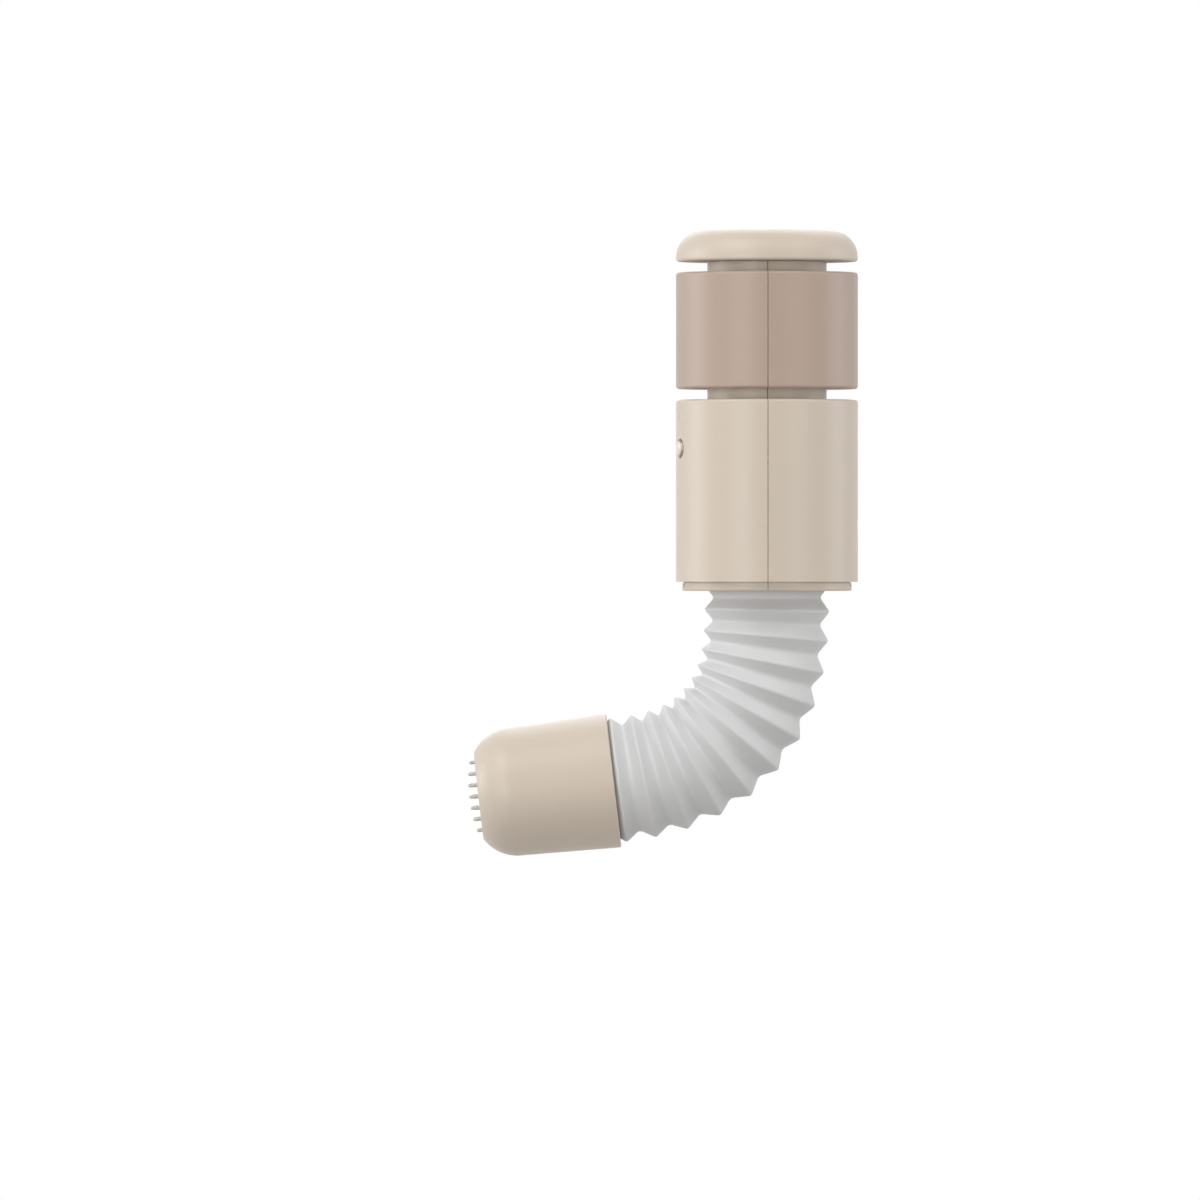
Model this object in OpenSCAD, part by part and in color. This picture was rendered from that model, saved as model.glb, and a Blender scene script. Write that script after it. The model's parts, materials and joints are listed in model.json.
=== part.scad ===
// Battery-powered handheld massager: a grip with a pull-off end cap, a
// bellows-covered neck that bends and swivels, and a cup head with soft pins.
// +Z runs up the grip to the end cap. The origin is on the grip's axis, in the
// middle of the hanger groove between the band and the housing. The neck bends
// in the XZ plane, towards -X. Millimetres.

/* [Grip] */
// Diameter of the housing, the band and the end cap
body_d = 50; // [42:0.5:60]
// Diameter of the neck tube that shows in the two grooves
tube_d = 32.8; // [27.5:0.1:39]
// Height of each groove
groove_h = 3; // [2:0.1:5]
// Height of the coloured band
band_h = 32; // [27:0.5:38]
// Height of the housing below the hanger groove
housing_h = 50; // [42:0.5:60]
// Height of the stepped lip under the housing
lip_h = 2.5; // [1.8:0.1:4]
// How far the lip stands in from the housing's side
lip_step = 1.7; // [0.8:0.1:2.4]
// Wall of the housing
shell_wall = 2.2; // [1.6:0.1:3]
// Wall of the neck tube
tube_wall = 1.8; // [1.2:0.1:2.4]
// Wall of the band
band_wall = 2; // [1.2:0.1:3]
// Rounding of the housing's and band's edges
edge_round = 0.8; // [0.3:0.1:1.5]
// Gap at the parting line between the two shells
seam_gap = 0.16; // [0.04:0.02:0.3]

/* [End cap] */
// Height of the cap above the upper groove
cap_h = 8.5; // [8:0.1:12]
// Rounding of the cap's shoulder
cap_round = 7.3; // [5:0.1:7.4]
// Wall of the cap
cap_wall = 2; // [1.4:0.1:2.4]
// How far the plug reaches into the neck tube
plug_depth = 6.5; // [5.5:0.1:9]

/* [Neck] */
// Diameter over the bellows' ridges
ridge_d = 34.1; // [30:0.1:41]
// Depth of one fold, ridge to valley, on the radius
fold_depth = 2.2; // [1.6:0.1:2.8]
// Distance from ridge to ridge along the middle of the neck
fold_pitch = 6.96; // [5.8:0.02:8.36]
// Wall of the bellows
bellows_wall = 0.9; // [0.6:0.1:1.1]
// Angle of the whole bend
neck_bend = 83.5; // [20:0.5:100]
// Thickness of a link's disc
link_t = 2.2; // [1.8:0.1:2.6]
// Radius of the pegs that the links turn on
peg_r = 1; // [0.8:0.1:1.2]
// Thickness of a link's ears
ear_t = 2; // [1.5:0.1:2.4]
// Diameter of the motor's lead
lead_d = 2.4; // [1.6:0.1:3]

/* [Head] */
// Length of the cup, mouth to face
head_len = 37.4; // [35:0.1:45]
// How far the cup's mouth stands out past the bellows' ridges
head_lip = 1.4; // [1:0.1:3]
// Narrowing of the cup's side, degrees
head_taper = 1.8; // [0.5:0.1:2.5]
// Rounding of the cup's end
head_round = 11.5; // [10.5:0.1:12.5]
// Distance from the face to where the rounding starts
round_start = 9.9; // [8:0.1:10]
// Wall of the cup
cup_wall = 1.8; // [1.2:0.1:2.2]
// Diameter of the opening that the pin pad fills
face_opening_d = 22; // [21.6:0.1:23]

/* [Pins] */
// Diameter of a pin
pin_d = 1; // [0.7:0.05:1.4]
// Distance between rows of pins
pin_pitch = 3.12; // [2.4:0.02:3.15]
// Height of the middle pin
pin_h = 2.7; // [1.5:0.1:4]
// Radius at which the dome of pin tips would meet the face
pin_dome_r = 11.7; // [11.2:0.1:14]

/* [Controls] */
// Diameter of the push button
button_d = 5; // [4:0.1:7]
// Height of the button's dome over the housing
button_dome = 0.95; // [0.3:0.05:1.5]
// Travel of the button
button_travel = 0.35; // [0.2:0.05:0.35]
// Angle of the button round from the side that the neck bends to
button_turn = 17; // [0:1:40]
// Distance of the button below the top of the housing
button_drop = 13.4; // [8:0.1:17]
// Distance of the status light below the top of the housing
light_drop = 4.5; // [3.9:0.1:5.5]
// Diameter of the status light
light_d = 1.6; // [1:0.1:2.4]

/* [Hidden] */
// Ridges in the bellows; the links between them are one fewer
folds = 11;
links = folds - 1;

$fn = 72;
far = 200;

// Clearances
fit_gap = 0.1;       // two parts that are pushed together
running_gap = 0.05;  // a peg or shaft that turns in its hole
stop_gap = 0.1;      // a moving part resting on its stop
loose_gap = 0.4;     // a part that is free of its neighbour

// Grip, in radii and heights
body_r = body_d / 2;
tube_r = tube_d / 2;
tube_in_r = tube_r - tube_wall;
housing_in_r = body_r - shell_wall;
housing_top = -groove_h / 2;
housing_bottom = housing_top - housing_h;
lip_bottom = housing_bottom - lip_h;
lip_r = body_r - lip_step;
lip_groove_h = 0.4;
lip_groove_r = lip_r - 0.3;
lip_round = 0.5;
lip_notch_r = 0.55;
lip_notch_turn = 12;
band_bottom = groove_h / 2;
band_top = band_bottom + band_h;
cap_under = band_top + groove_h;
cap_top = cap_under + cap_h;
cap_rim_round = 0.8;

// Swivel at the bottom of the housing
ridge_r = ridge_d / 2;
valley_r = ridge_r - fold_depth;
cuff_rise = 1.05;
cuff_r = valley_r + cuff_rise;
clamp_t = 0.5;
swivel_bore_r = cuff_r + clamp_t + loose_gap;
floor_t = 3.4;
floor_top = lip_bottom + floor_t;
washer_t = 0.4;
flange_t = 2.4;
flange_r = housing_in_r - 1;
flange_bottom = floor_top + washer_t + running_gap;
flange_top = flange_bottom + flange_t;
shelf_bottom = flange_top + 0.2;
shelf_t = 2;
shelf_top = shelf_bottom + shelf_t;
shelf_r = flange_r - 3.3;

// Battery pack of three AAA cells
cell_r = 5.25;
cell_len = 44.5;
cell_nub = [1.9, 1];
cell_gap = 0.6;
cell_ring_r = (cell_r + cell_gap / 2) / sin(60);
disc_t = 1.6;
spring_h = 2.2;
contact_t = 0.3;
carrier_len = 2 * disc_t + spring_h + cell_len + contact_t;
carrier_r = tube_in_r - 0.3;
cushion_t = 1.5;
plug_bottom = cap_under - plug_depth;
carrier_top = plug_bottom - cushion_t - stop_gap;
carrier_bottom = carrier_top - carrier_len;
seat_t = 2;
seat_bottom = carrier_bottom - seat_t;
ledge_t = 2;
ledge_bottom = seat_bottom - ledge_t;
ledge_w = 2.3;

// Screw that holds the shells together
boss_r = 2.9;
screw_shank_r = 1.3;
screw_head_r = 2.2;
screw_head_t = 1.7;
screw_z = (ledge_bottom + shelf_top) / 2;
screw_seat_x = body_r - 5.5;
screw_len = 28;

// Circuit board, behind the button
board_gap = 2.9;
board_t = 1;
board_w = 18;
board_h = 22;
board_out = housing_in_r - board_gap;
board_in = board_out - board_t;
board_top = housing_top - shell_wall - 0.5;
board_bottom = board_top - board_h;
rail_w = 2;
rail_grip = 0.8;
button_z = housing_top - button_drop;
light_z = housing_top - light_drop;
switch_side = 4;
switch_t = 1.2;
button_r = button_d / 2;
button_flange_r = button_r + 0.9;
button_flange_in = board_out + switch_t + button_travel + running_gap;
button_flange_out = sqrt(pow(housing_in_r, 2) - pow(button_flange_r, 2)) - stop_gap;
plunger_r = 1;
socket_w = 5;
socket_h = 3;
socket_t = lead_d + 0.6;
lead_run_x = board_in - socket_t / 2;

// Neck: pivot i lies in the plane of ridge i, link i spans pivots i and i + 1
cuff_out = 1.85;
cuff_len = 3.3;
pivot_1_z = lip_bottom - cuff_out - fold_pitch / 2;
link_r = valley_r - bellows_wall - 0.95;
link_bore_r = 5.5;
ear_gap = 0.2;
ear_out = link_r - 1.1;
ear_mid = ear_out - ear_t;
ear_in = ear_mid - ear_gap - ear_t;
eye_r = fold_pitch / 2 - link_t / 2 - 0.2;
bellows_sides = 40;

// Bend of each fold: a half sine wave on a low step, adding up to neck_bend,
// with its middle moved a little towards the head
bend_step = 0.1;
bend_skew = 1.04;
function bend_share(i) = sin(180 * pow((i - 0.5) / folds, bend_skew)) + bend_step;
function sum(v, i = 0) = i < len(v) ? v[i] + sum(v, i + 1) : 0;
all_shares = sum([for (i = [1:folds]) bend_share(i)]);
function fold_angle(i) = neck_bend * bend_share(i) / all_shares;
function tilt(i) = i < 1 ? 0 : tilt(i - 1) + fold_angle(i);
function along(i) = [-sin(tilt(i)), 0, -cos(tilt(i))];
function pivot(i) = i <= 1 ? [0, 0, pivot_1_z] : pivot(i - 1) + fold_pitch * along(i - 1);
function valley(i) = i < 1 ? [0, 0, pivot_1_z + fold_pitch / 2] : pivot(i) + fold_pitch / 2 * along(i);
function link_name(i) = str("neck_link_", i < 10 ? "0" : "", i);

// Head, measured along its axis from the last pivot
mouth_w = 1.3;
face_w = mouth_w + head_len;
mouth_r = ridge_r + head_lip;
mouth_round = 0.5;
side_len = head_len - round_start;
round_r = mouth_r - side_len * tan(head_taper);
end_wall = 1.6;
spigot_start = mouth_w + 3.6;
spigot_end = mouth_w + 8.2;
web_t = 2;
web_w = spigot_end;
mount_flange_t = 1.4;
mount_flange_w = web_w + web_t;
boss_w = mount_flange_w + mount_flange_t + fit_gap;
head_boss_r = 2;
head_boss_ring = link_r - 2;
head_screw_r = 0.9;
head_screw_head = [1.6, 1.2];
motor_r = 6;
motor_len = 14;
motor_w = mount_flange_w + 1.2;
motor_end = motor_w + motor_len;
mount_wall = 1.8;
shaft_r = 0.75;
weight_r = 5.4;
weight_t = 3.6;
weight_w = motor_end + 0.8;
pad_flange_t = 1.5;
pad_flange_w = face_w - end_wall - pad_flange_t - 0.05;
pad_r = face_opening_d / 2 - 0.1;
pad_flange_r = pad_r + 2;
pad_sink = 0.2;
retainer_t = 1.6;
retainer_r = pad_flange_r + 0.5;
retainer_w = pad_flange_w - retainer_t;
pin_rows = 3;

// ---- helpers ----

// Points of an arc, for outlines that are turned or extruded
function arc(centre, r, from, to, steps = 8) =
    [for (k = [0:steps]) let (a = from + (to - from) * k / steps) centre + r * [cos(a), sin(a)]];

module turned(points) {
    rotate_extrude() polygon(points);
}

module ring(r_out, r_in, low, high) {
    translate([0, 0, low]) difference() {
        cylinder(r = r_out, h = high - low);
        translate([0, 0, -1]) cylinder(r = r_in, h = high - low + 2);
    }
}

// Keeps the half of its children on the -X side (-1) or the +X side (1)
module half(side) {
    intersection() {
        children();
        translate([side * (far + seam_gap) / 2, 0, 0]) cube(far, center = true);
    }
}

// Turns +X to the button's direction
module button_side() {
    rotate([0, 0, 180 + button_turn]) children();
}

module along_x(r, from, to) {
    translate([from, 0, 0]) rotate([0, 90, 0]) cylinder(r = r, h = to - from);
}

module along_y(r, from, to) {
    translate([0, from, 0]) rotate([-90, 0, 0]) cylinder(r = r, h = to - from);
}

// Places its children in link i's own frame: origin at pivot i, -Z along the link
module at_link(i) {
    translate(pivot(i)) rotate([0, tilt(i), 0]) children();
}

// Places its children in the head's frame: +Z from the last pivot towards the face
module at_head() {
    at_link(folds) rotate([180, 0, 0]) children();
}

// Skins a stack of rings, each a list of points, closed at both ends
module skin(rings) {
    n = len(rings[0]);
    m = len(rings);
    polyhedron(
        points = [for (one = rings) each one],
        faces = concat(
            [for (j = [0:m - 2]) for (k = [0:n - 1])
                each let (a = j * n + k, b = j * n + (k + 1) % n) [[a, a + n, b], [b, a + n, b + n]]],
            [[for (k = [0:n - 1]) k]],
            [[for (k = [n - 1:-1:0]) (m - 1) * n + k]]
        ),
        convexity = 10
    );
}

// A circle of points round a centre, in the plane through Y that is tilted in XZ
function circle_at(centre, angle, r, sides) =
    [for (k = [0:sides - 1]) let (a = 360 * k / sides)
        centre + r * [cos(a) * cos(angle), sin(a), -cos(a) * sin(angle)]];

// ---- grip ----

function shell_outline() = concat(
    [[tube_in_r, cap_under - stop_gap], [tube_r, cap_under - stop_gap], [tube_r, housing_top]],
    arc([body_r - edge_round, housing_top - edge_round], edge_round, 90, 0),
    [[body_r, housing_bottom], [lip_groove_r, housing_bottom]],
    [[lip_groove_r, housing_bottom - lip_groove_h], [lip_r, housing_bottom - lip_groove_h]],
    arc([lip_r - lip_round, lip_bottom + lip_round], lip_round, 0, -90, 4),
    [[swivel_bore_r, lip_bottom], [swivel_bore_r, floor_top], [housing_in_r, floor_top]],
    [[housing_in_r, shelf_bottom], [shelf_r, shelf_bottom]],
    [[shelf_r, shelf_top], [housing_in_r, shelf_top]],
    [[housing_in_r, ledge_bottom], [housing_in_r - ledge_w, ledge_bottom]],
    [[housing_in_r - ledge_w, seat_bottom], [housing_in_r, seat_bottom]],
    [[housing_in_r, housing_top - shell_wall], [tube_in_r, housing_top - shell_wall]]
);

// Slotted rails that hold the board's two long edges
module board_rails() {
    intersection() {
        difference() {
            for (s = [-1, 1])
                translate([board_in - 1.5, s * (board_w / 2 - rail_grip + rail_w / 2) - rail_w / 2, board_bottom - 1])
                    cube([far, rail_w, board_h - 1]);
            translate([board_in - fit_gap, -board_w / 2 - fit_gap, board_bottom - far / 2])
                cube([board_t + 2 * fit_gap, board_w + 2 * fit_gap, far]);
        }
        translate([0, 0, -far / 2]) cylinder(r = housing_in_r + shell_wall / 2, h = far);
    }
}

// Room for the board where it passes the battery ledge
module board_room() {
    translate([board_in - 1.5, -board_w / 2 - 2, board_bottom - 1])
        intersection() {
            cube([far, board_w + 4, board_h]);
            translate([-board_in + 1.5, board_w / 2 + 2, 0]) cylinder(r = housing_in_r, h = far);
        }
}

// Small round notches near the ends of the lip, where a case-opening tool goes in
module lip_notches(side) {
    for (a = [-lip_notch_turn, lip_notch_turn])
        rotate([0, 0, a + (side < 0 ? 180 : 0)])
            translate([0, 0, lip_bottom + lip_h / 2 + 0.3]) along_x(lip_notch_r, lip_r - 0.6, far);
}

module front_shell() {
    color("#d6cabc") half(-1) difference() {
        union() {
            difference() {
                turned(shell_outline());
                button_side() board_room();
            }
            button_side() board_rails();
            translate([0, 0, screw_z]) along_x(boss_r, -housing_in_r - shell_wall / 2, 0);
        }
        translate([0, 0, screw_z]) along_x(screw_shank_r + running_gap, screw_seat_x - screw_len - 0.5, 1);
        lip_notches(-1);
        button_side() {
            translate([0, 0, button_z]) along_x(button_r + 0.2, housing_in_r - 1, far);
            translate([0, 0, light_z]) along_x(light_d / 2 + fit_gap / 2, housing_in_r - 1, far);
        }
    }
}

module rear_shell() {
    color("#d6cabc") half(1) difference() {
        union() {
            turned(shell_outline());
            translate([0, 0, screw_z]) along_x(boss_r + 0.5, 0, housing_in_r + shell_wall / 2);
        }
        lip_notches(1);
        translate([0, 0, screw_z]) {
            along_x(screw_shank_r + 0.3, -1, far);
            along_x(screw_head_r + 0.2, screw_seat_x, far);
        }
    }
}

module shell_screw() {
    color("#b9bcc0") translate([0, 0, screw_z]) difference() {
        union() {
            along_x(screw_shank_r, screw_seat_x - screw_len, screw_seat_x + 0.1);
            along_x(screw_head_r, screw_seat_x, screw_seat_x + screw_head_t);
        }
        for (a = [0, 90])
            translate([screw_seat_x + screw_head_t, 0, 0]) rotate([a, 0, 0]) cube([2, 0.6, 2.6], center = true);
    }
}

function band_outline() = concat(
    arc([body_r - edge_round, band_top - edge_round], edge_round, 90, 0),
    arc([body_r - edge_round, band_bottom + edge_round], edge_round, 0, -90),
    [[tube_r + fit_gap / 2, band_bottom], [tube_r + fit_gap / 2, band_bottom + band_wall]],
    [[body_r - band_wall, band_bottom + band_wall], [body_r - band_wall, band_top - band_wall]],
    [[tube_r + fit_gap / 2, band_top - band_wall], [tube_r + fit_gap / 2, band_top]]
);

module band(side) {
    color("#b09b8b") half(side) turned(band_outline());
}

// Split ring round the neck tube, inside the band, that holds the shells' tops together
module tube_clamp_ring() {
    ring_h = 5;
    mid = (band_bottom + band_top) / 2;
    color("#8f9396") difference() {
        ring(tube_r + fit_gap / 2 + 1.6, tube_r + fit_gap / 2, mid - ring_h / 2, mid + ring_h / 2);
        translate([0, tube_r, mid]) cube([2, 8, ring_h + 2], center = true);
    }
}

// ---- end cap ----

module cap_dome() {
    outer = concat(
        [[0, cap_top]],
        arc([body_r - cap_round, cap_top - cap_round], cap_round, 90, 0, 14),
        arc([body_r - cap_rim_round, cap_under + cap_rim_round], cap_rim_round, 0, -90, 5)
    );
    inner = concat(
        [[body_r - cap_wall, cap_under]],
        arc([body_r - cap_round, cap_top - cap_round], cap_round - cap_wall, 0, 90, 10),
        [[0, cap_top - cap_wall]]
    );
    boss_low = plug_bottom + 2.6 + fit_gap / 2;
    color("#dcd1c4") difference() {
        union() {
            turned(concat(outer, inner));
            translate([0, 0, boss_low]) cylinder(r = 3, h = cap_top - cap_wall / 2 - boss_low);
        }
        translate([0, 0, boss_low - 1]) cylinder(r = screw_shank_r + running_gap, h = 9.5);
    }
}

module cap_plug() {
    plug_r = tube_in_r - 0.2;
    color("#dcd1c4") difference() {
        union() {
            translate([0, 0, cap_under]) cylinder(r = body_r - cap_wall - fit_gap, h = 1.8);
            translate([0, 0, plug_bottom]) cylinder(r = plug_r, h = plug_depth + 0.1);
        }
        translate([0, 0, plug_bottom + 2.6]) cylinder(r = plug_r - 2.4, h = far);
        translate([0, 0, plug_bottom - 1]) cylinder(r = screw_shank_r + 0.2, h = far);
        translate([0, 0, plug_bottom - 1]) cylinder(r = screw_head_r + 0.2, h = screw_head_t + 1);
        ring(far, seal_groove_r(), plug_bottom + 1.5, plug_bottom + 2.9);
    }
}

seal_wire_r = 0.6;
function seal_groove_r() = tube_in_r - running_gap - 2 * seal_wire_r - running_gap;

module cap_seal_ring() {
    color("#3a3a3c") translate([0, 0, plug_bottom + 2.2]) rotate_extrude()
        translate([tube_in_r - running_gap - seal_wire_r, 0]) circle(r = seal_wire_r, $fn = 24);
}

module cap_screw() {
    color("#b9bcc0") translate([0, 0, plug_bottom]) difference() {
        union() {
            translate([0, 0, 0.1]) cylinder(r = screw_head_r, h = screw_head_t - 0.1);
            translate([0, 0, screw_head_t - 0.1]) cylinder(r = screw_shank_r, h = 8);
        }
        for (a = [0, 90]) rotate([0, 0, a]) cube([2.6, 0.6, 1.8], center = true);
    }
}

module battery_cushion() {
    color("#55585c") ring(tube_in_r - 2, screw_head_r + 1, plug_bottom - cushion_t, plug_bottom);
}

// ---- battery ----

module at_cells() {
    for (k = [0:2]) rotate([0, 0, 120 * k]) translate([cell_ring_r, 0, 0]) children();
}

module battery_seat() {
    chord = board_in - socket_t - 0.4;
    color("#6d7074") difference() {
        translate([0, 0, seat_bottom]) cylinder(r = housing_in_r - fit_gap, h = seat_t);
        button_side() translate([chord, -far / 2, seat_bottom - 1]) cube([far, far, seat_t + 2]);
        translate([0, 0, seat_bottom - 1]) cylinder(r = 3, h = seat_t + 2);
    }
}

module battery_carrier() {
    color("#2f3032") {
        translate([0, 0, carrier_bottom]) cylinder(r = carrier_r, h = disc_t);
        translate([0, 0, carrier_top - disc_t]) cylinder(r = carrier_r, h = disc_t);
        translate([0, 0, carrier_bottom]) cylinder(r = 1, h = carrier_len);
        for (k = [0:2]) rotate([0, 0, 60 + 120 * k])
            translate([0, -0.2, carrier_bottom + disc_t / 2]) cube([cell_ring_r + 2.5, 0.4, carrier_len - disc_t]);
    }
}

module battery_cells() {
    low = carrier_bottom + disc_t + spring_h;
    color("#4e6a58") at_cells() {
        translate([0, 0, low]) cylinder(r = cell_r, h = cell_len - cell_nub[1]);
        translate([0, 0, low]) cylinder(r = cell_nub[0], h = cell_len);
    }
}

// A coil under each cell and a plate over each
module battery_contacts() {
    wire_r = 0.4;
    turns = 4;
    step = (spring_h - 2 * wire_r) / (turns - 1);
    color("#c3c6c9") at_cells() {
        for (k = [0:turns - 1])
            translate([0, 0, carrier_bottom + disc_t + wire_r + step * k]) rotate_extrude()
                translate([3.6 - 0.4 * k, 0]) circle(r = wire_r, $fn = 20);
        translate([0, 0, carrier_top - disc_t - contact_t]) cylinder(r = 3.4, h = contact_t);
    }
}

// ---- electronics ----

module circuit_board() {
    color("#2f6b4a") button_side() translate([board_in, -board_w / 2, board_bottom])
        cube([board_t, board_w, board_h]);
}

module board_chips() {
    color("#232427") button_side() for (s = [-1, 1]) {
        translate([board_in - 1.2, s * 6.4 - 1.4, button_z - 2]) cube([1.2, 2.8, 5]);
        translate([board_in - 0.9, s * 6.4 - 1, light_z - 1]) cube([0.9, 2, 1.4]);
    }
}

module lead_socket() {
    low = board_bottom + 0.6;
    color("#e6e2d8") button_side() translate([board_in - socket_t, -socket_w / 2, low]) difference() {
        cube([socket_t, socket_w, socket_h]);
        translate([socket_t / 2, socket_w / 2, -1]) cylinder(r = lead_d / 2 - 0.35, h = 2, $fn = 24);
    }
}

module tact_switch() {
    color("#3b3c40") button_side() difference() {
        translate([board_out, -switch_side / 2, button_z - switch_side / 2])
            cube([switch_t, switch_side, switch_side]);
        translate([0, 0, button_z]) along_x(plunger_r + running_gap, board_out + 0.1, far);
    }
}

module status_led() {
    color("#f4f1e4") button_side() translate([board_out, -0.8, light_z - 0.5]) cube([0.7, 1.6, 1]);
}

module light_pipe() {
    color("#f0eee6") button_side() intersection() {
        translate([0, 0, light_z]) along_x(light_d / 2, board_out + 0.75, far);
        translate([0, 0, light_z - 5]) cylinder(r = body_r - 0.05, h = 10);
    }
}

module push_button() {
    dome_r = (pow(button_r, 2) + pow(button_dome, 2)) / (2 * button_dome);
    profile = concat(
        [[0, button_flange_in], [button_flange_r, button_flange_in]],
        [[button_flange_r, button_flange_out], [button_r, button_flange_out]],
        arc([0, body_r + button_dome - dome_r], dome_r, asin((dome_r - button_dome) / dome_r), 90, 8)
    );
    color("#ecdccf") button_side() translate([0, 0, button_z]) rotate([0, 90, 0]) turned(profile);
}

module switch_plunger() {
    low = button_flange_in - switch_t + 0.15;
    color("#8d8f93") button_side() translate([0, 0, button_z]) along_x(plunger_r, low, button_flange_in);
}

// Lead from the board's socket down the housing and in to the swivel's axis
module body_lead() {
    top = board_bottom + 0.6;
    down = shelf_top + 7;
    route = [
        [lead_run_x, top], [lead_run_x, (top + down) / 2], [lead_run_x, down],
        [lead_run_x - 1, down - 2.6], [lead_run_x - 4, down - 4.2], [lead_run_x / 2, down - 4.8],
        [3.5, down - 5.2], [1.2, down - 6.4], [0.2, down - 8.2], [0, flange_top + 0.4]
    ];
    color("#2b2b2d") button_side() skin([for (i = [0:len(route) - 1])
        let (
            before = route[max(i - 1, 0)],
            after = route[min(i + 1, len(route) - 1)],
            lean = (i == 0 || i == len(route) - 1) ? 0 : atan2(before[0] - after[0], before[1] - after[1])
        )
        circle_at([route[i][0], 0, route[i][1]], lean, lead_d / 2, 8)]);
}

// ---- swivel ----

module swivel_washer() {
    color("#f2f2f0") ring(flange_r, swivel_bore_r + 0.3, floor_top, floor_top + washer_t);
}

module ear_pair(low_y, high_y, reach) {
    for (s = [-1, 1]) {
        along_y(eye_r, s > 0 ? low_y : -high_y, s > 0 ? high_y : -low_y);
        translate([-eye_r, s > 0 ? low_y : -high_y, min(0, reach)])
            cube([2 * eye_r, high_y - low_y, abs(reach)]);
    }
}

// Ears with holes, centred on a pivot; the disc they grow from is above them
module hole_ears() {
    ear_pair(ear_in, ear_mid - ear_gap, fold_pitch / 2);
}

module ear_holes() {
    along_y(peg_r + running_gap, -far / 2, far / 2);
}

// Ears with pegs, centred on a pivot; the disc they grow from is below them
module peg_ears() {
    ear_pair(ear_mid, ear_out, -fold_pitch / 2);
    for (s = [-1, 1])
        along_y(peg_r, s > 0 ? ear_in + 0.2 : -ear_mid - 0.5, s > 0 ? ear_mid + 0.5 : -ear_in - 0.2);
}

module swivel_collar() {
    spigot_r = cuff_r - bellows_wall - fit_gap;
    disc_z = pivot_1_z + fold_pitch / 2;
    color("#cfd2d4") difference() {
        union() {
            translate([0, 0, flange_bottom]) cylinder(r = flange_r, h = flange_t);
            translate([0, 0, lip_bottom]) cylinder(r = spigot_r, h = flange_bottom - lip_bottom + 0.1);
            translate([0, 0, disc_z - link_t / 2]) cylinder(r = link_r, h = lip_bottom - disc_z + link_t / 2 + 0.1);
            translate([0, 0, pivot_1_z]) hole_ears();
        }
        translate([0, 0, disc_z - link_t]) cylinder(r = link_bore_r, h = far);
        translate([0, 0, pivot_1_z]) ear_holes();
    }
}

module upper_cuff_clamp() {
    mid = (lip_bottom + flange_bottom) / 2;
    color("#a9adb1") ring(cuff_r + fit_gap / 2 + clamp_t - 0.1, cuff_r + fit_gap / 2, mid - 1, mid + 1);
}

// ---- neck ----

module neck_link(i) {
    color("#cfd2d4") at_link(i) difference() {
        union() {
            translate([0, 0, -fold_pitch / 2 - link_t / 2]) cylinder(r = link_r, h = link_t);
            intersection() {
                union() {
                    peg_ears();
                    translate([0, 0, -fold_pitch]) hole_ears();
                }
                translate([0, 0, -far / 2]) cylinder(r = link_r, h = far);
            }
        }
        translate([0, 0, -far / 2]) cylinder(r = link_bore_r, h = far);
        translate([0, 0, -fold_pitch]) ear_holes();
    }
}

// Rings of the bellows: a cuff on the collar, a ridge and a valley for each fold, a cuff on the head
function bellows_rings(in) = concat(
    [circle_at([0, 0, lip_bottom + cuff_len], 0, cuff_r - in, bellows_sides)],
    [circle_at([0, 0, lip_bottom], 0, cuff_r - in, bellows_sides)],
    [circle_at(valley(0), 0, valley_r - in, bellows_sides)],
    [for (i = [1:folds]) each [
        circle_at(pivot(i), (tilt(i - 1) + tilt(i)) / 2, ridge_r - in, bellows_sides),
        circle_at(valley(i), tilt(i), valley_r - in, bellows_sides)
    ]],
    [for (w = [spigot_start, spigot_end - 0.4])
        circle_at(pivot(folds) + w * along(folds), tilt(folds), lower_cuff_r - in, bellows_sides)]
);

lower_cuff_r = valley_r + 0.75;

module neck_bellows() {
    outer = bellows_rings(0);
    inner = bellows_rings(bellows_wall);
    count = len(inner) - 1;
    loop = concat(outer, [for (j = [count:-1:0]) inner[j]]);
    n = bellows_sides;
    m = len(loop);
    color("#eceded") polyhedron(
        points = [for (one = loop) each one],
        faces = [for (j = [0:m - 1]) for (k = [0:n - 1])
            each let (a = j * n + k, b = j * n + (k + 1) % n, c = ((j + 1) % m) * n + k, d = ((j + 1) % m) * n + (k + 1) % n)
                [[a, c, b], [b, c, d]]],
        convexity = 10
    );
}

// Lead down the middle of the links, from the swivel's flange to the motor
module neck_lead() {
    route = concat(
        [[[0, 0, flange_top + 0.4], 0], [[0, 0, lip_bottom], 0], [valley(0), 0]],
        [for (i = [1:folds]) each [[pivot(i), (tilt(i - 1) + tilt(i)) / 2], [valley(i), tilt(i)]]],
        [for (w = [spigot_end, motor_w]) [pivot(folds) + w * along(folds), tilt(folds)]]
    );
    color("#2b2b2d") skin([for (step = route) circle_at(step[0], step[1], lead_d / 2, 8)]);
}

// ---- head ----

module at_head_bosses() {
    for (k = [0:2]) rotate([0, 0, 90 + 120 * k]) translate([head_boss_ring, 0, 0]) children();
}

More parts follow.
